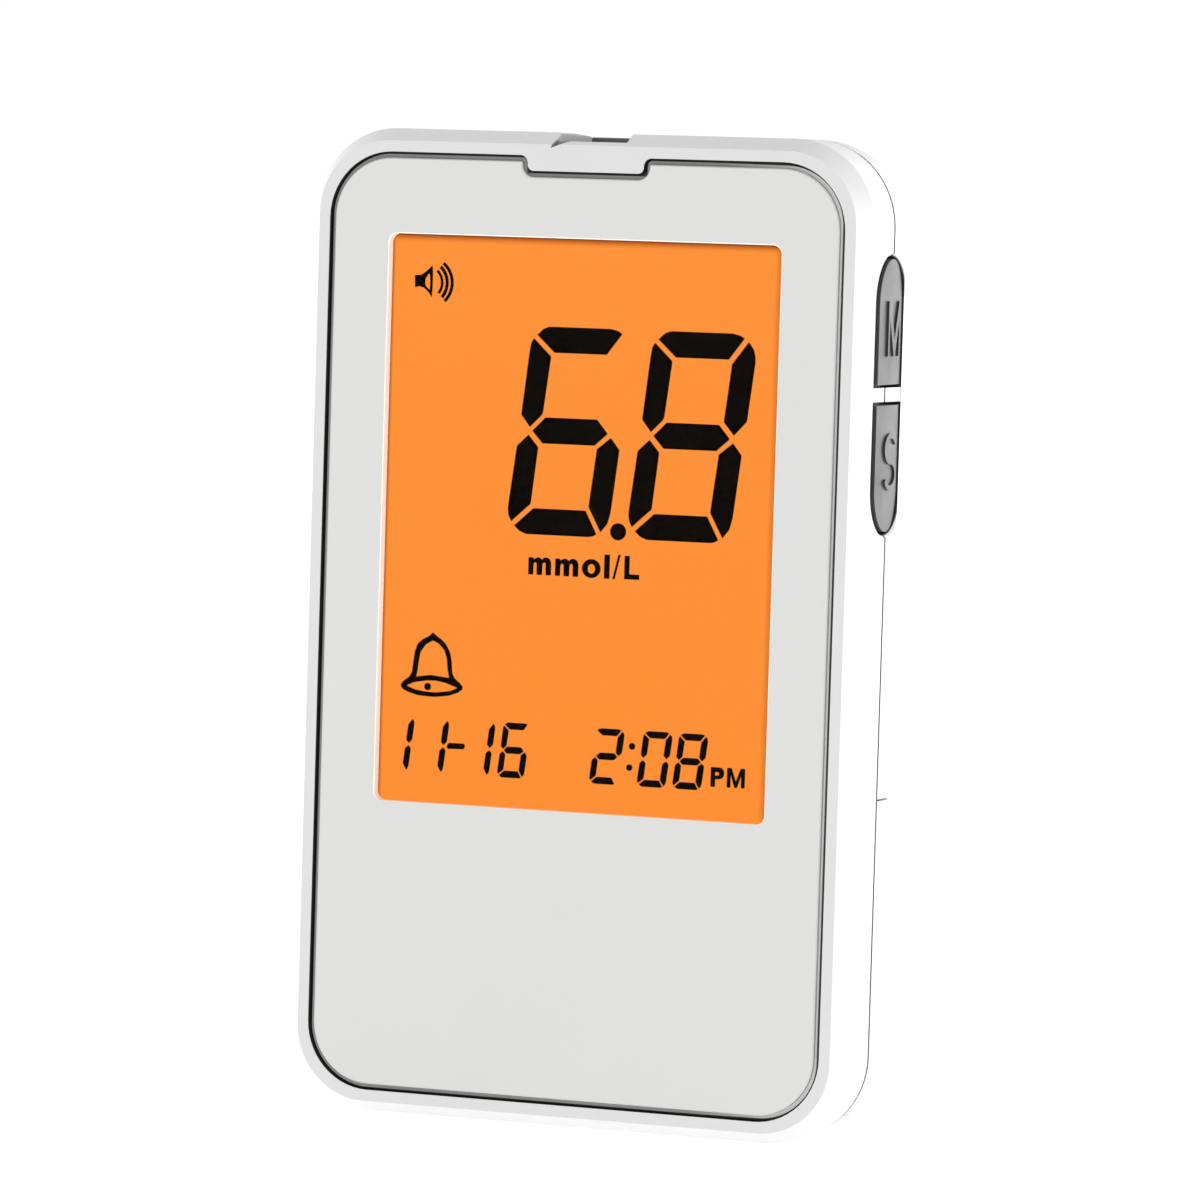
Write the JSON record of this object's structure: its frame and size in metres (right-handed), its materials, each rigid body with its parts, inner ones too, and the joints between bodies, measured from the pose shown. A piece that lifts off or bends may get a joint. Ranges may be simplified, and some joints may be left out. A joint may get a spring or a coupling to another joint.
{
  "type": "blood glucose meter",
  "caption": "Upright hand-held blood glucose meter with an amber display, side keys marked M and S, a top strip port and a lift-off battery door.",
  "frame": {"origin": "middle of the bottom end, on the symmetry plane and at mid-depth", "axes": "+X towards the side with the two keys, +Y towards the back, +Z towards the end that takes the test strip"},
  "size_m": [0.0586, 0.0164, 0.0968],
  "materials": {
    "casing_plastic": "fine satin moulded",
    "panel_plastic": "satin, light grey",
    "gasket_rubber": "soft, dull",
    "window_clear": "clear, hard coated",
    "cell_glass": "lit from behind",
    "rear_cell_glass": "lit from behind",
    "guide_acrylic": "polished, frosted back",
    "film_white": "glossy white film",
    "lamp_resin": "cast resin",
    "zebra_rubber": "striped silicone",
    "frame_plastic": "moulded",
    "board_laminate": "solder mask over glass laminate",
    "chip_black": "moulded epoxy",
    "port_plastic": "moulded",
    "contact_metal": "gold-plated spring metal",
    "button_plastic": "soft-touch, dull",
    "switch_plastic": "moulded",
    "plunger_plastic": "moulded",
    "speaker_metal": "drawn",
    "pad_foam": "foam",
    "cell_jacket": "plain printed sleeve over a metal can",
    "spring_steel": "nickel plated",
    "screw_steel": "zinc plated"
  },
  "bodies": {
    "meter": {"front_casing": "casing_plastic", "front_panel": "panel_plastic", "panel_gasket": "gasket_rubber", "display_window": "window_clear", "lcd_front_glass": "cell_glass", "lcd_rear_glass": "rear_cell_glass", "light_guide": "guide_acrylic", "reflector_film": "film_white", "backlight_leds": "lamp_resin", "zebra_strip": "zebra_rubber", "display_frame": "frame_plastic", "main_board": "board_laminate", "processor": "chip_black", "board_parts": "chip_black", "strip_connector": "port_plastic", "strip_contacts": "contact_metal", "strip_port": "port_plastic", "m_switch": "switch_plastic", "s_switch": "switch_plastic", "speaker": "speaker_metal", "speaker_pad": "pad_foam", "speaker_contacts": "contact_metal", "rear_casing": "casing_plastic", "lower_battery": "cell_jacket", "upper_battery": "cell_jacket", "battery_plates": "spring_steel", "battery_springs": "spring_steel", "casing_screws": "screw_steel", "board_screws": "screw_steel"},
    "m_button": {"m_button": "button_plastic", "m_plunger": "plunger_plastic"},
    "s_button": {"s_button": "button_plastic", "s_plunger": "plunger_plastic"},
    "battery_door": {"battery_door": "casing_plastic"}
  },
  "joints": [
    {"name": "m_button_press", "type": "slide", "parent": "meter", "child": "m_button", "axis": [-1, 0, 0], "range_m": [0, 0.0005], "stiffness_N_per_m": 1200},
    {"name": "s_button_press", "type": "slide", "parent": "meter", "child": "s_button", "axis": [-1, 0, 0], "range_m": [0, 0.0005], "stiffness_N_per_m": 1200},
    {"name": "battery_door_release", "type": "slide", "parent": "meter", "child": "battery_door", "axis": [0, 1, 0], "range_m": [0, 0.025]}
  ]
}
